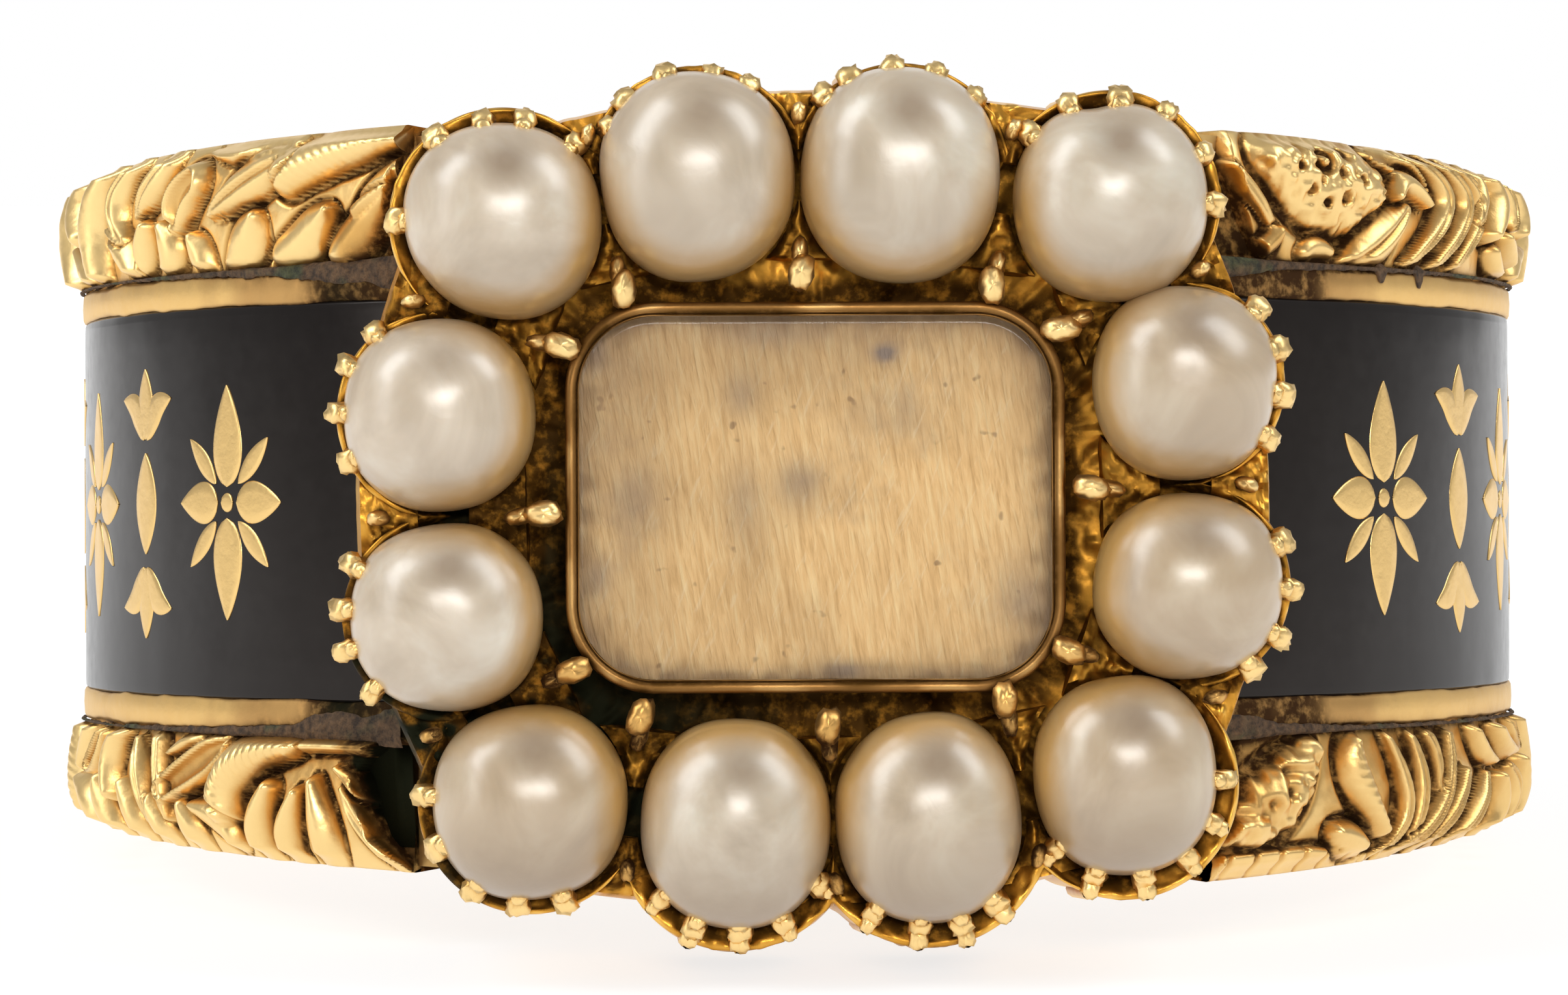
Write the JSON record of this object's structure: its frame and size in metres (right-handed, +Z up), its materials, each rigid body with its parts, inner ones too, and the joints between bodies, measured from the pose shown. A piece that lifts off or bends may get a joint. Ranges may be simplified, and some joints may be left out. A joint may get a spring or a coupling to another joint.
{
  "type": "mourning ring",
  "caption": "Gold finger ring with a black enamelled band, chased borders and a flat head of half pearls round a glazed hair locket.",
  "frame": {"origin": "on the surface that the ring lies on, under the middle of its bounding box", "axes": "+Z up, and -Y is the way the head faces; the finger hole's axis leans 4 degrees from +Z towards +Y"},
  "size_m": [0.0206, 0.0233, 0.0112],
  "materials": {
    "gold": "yellow gold, bright where it is chased and satin where it is plain",
    "enamel": "glossy black enamel with light wear",
    "panel": "woven hair on gilt foil",
    "crystal": "clear bevelled crystal",
    "pearl": "satin nacre, cream to grey"
  },
  "bodies": {
    "root": {"gold_ring": "gold", "enamel": "enamel", "hair_panel": "panel", "glass": "crystal", "pearl_1": "pearl", "pearl_2": "pearl", "pearl_3": "pearl", "pearl_4": "pearl", "pearl_5": "pearl", "pearl_6": "pearl", "pearl_7": "pearl", "pearl_8": "pearl", "pearl_9": "pearl", "pearl_10": "pearl", "pearl_11": "pearl", "pearl_12": "pearl"}
  },
  "joints": []
}
